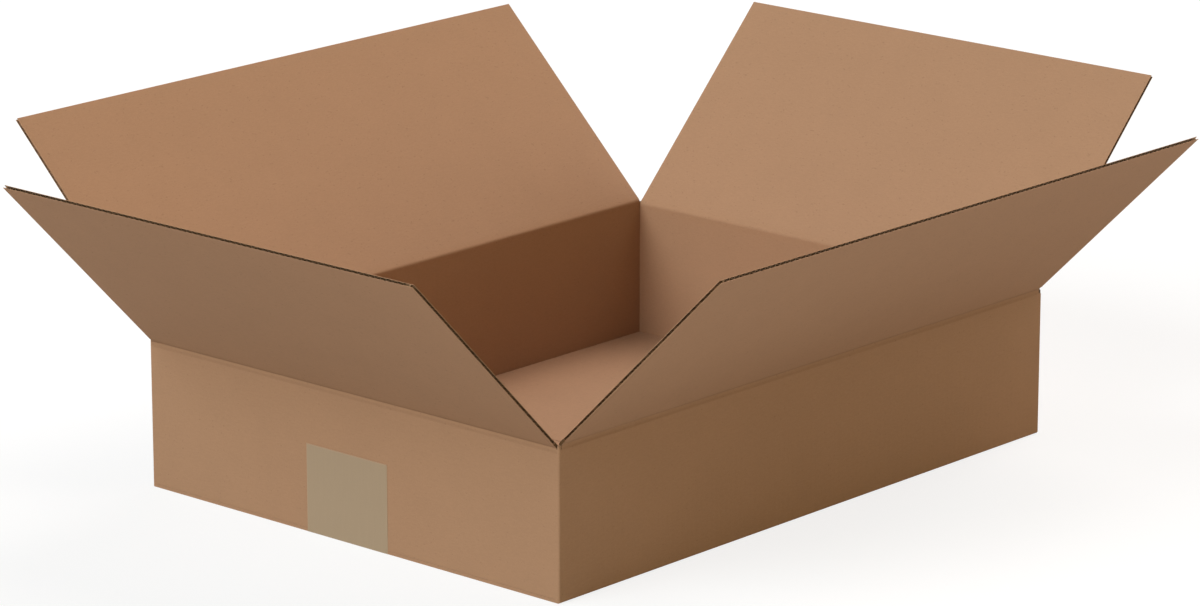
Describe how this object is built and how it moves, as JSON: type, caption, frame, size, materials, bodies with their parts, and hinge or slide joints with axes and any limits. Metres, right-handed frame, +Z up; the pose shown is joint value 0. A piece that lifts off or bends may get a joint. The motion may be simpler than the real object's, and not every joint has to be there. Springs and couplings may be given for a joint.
{
  "type": "open cardboard box",
  "caption": "Shallow corrugated cardboard box, open, with its top flaps splayed outwards and its bottom taped shut.",
  "frame": {"origin": "on the surface the box stands on, below the middle of the box", "axes": "+X along the long walls, +Y along the short walls towards the back flap, +Z up; the taped short wall of the picture faces -X and the long wall beside it faces -Y"},
  "size_m": [0.5154, 0.4322, 0.1605],
  "materials": {
    "kraft_board": "matt",
    "packing_tape": "satin"
  },
  "bodies": {
    "box": {"tray": "kraft_board", "bottom_tape": "packing_tape"},
    "front_flap": {"flap_front": "kraft_board"},
    "back_flap": {"flap_back": "kraft_board"},
    "left_flap": {"flap_left": "kraft_board"},
    "right_flap": {"flap_right": "kraft_board"}
  },
  "joints": [
    {"name": "front_fold", "type": "hinge", "parent": "box", "child": "front_flap", "pos_m": [0, -0.12625, 0.0718], "axis": [1, 0, 0], "range_deg": [-135.4, 74.6]},
    {"name": "back_fold", "type": "hinge", "parent": "box", "child": "back_flap", "pos_m": [0, 0.12625, 0.0718], "axis": [-1, 0, 0], "range_deg": [-135.4, 74.6]},
    {"name": "left_fold", "type": "hinge", "parent": "box", "child": "left_flap", "pos_m": [-0.16925, 0, 0.0702], "axis": [0, -1, 0], "range_deg": [-134.5, 75.5]},
    {"name": "right_fold", "type": "hinge", "parent": "box", "child": "right_flap", "pos_m": [0.16925, 0, 0.0702], "axis": [0, 1, 0], "range_deg": [-134.5, 75.5]}
  ]
}
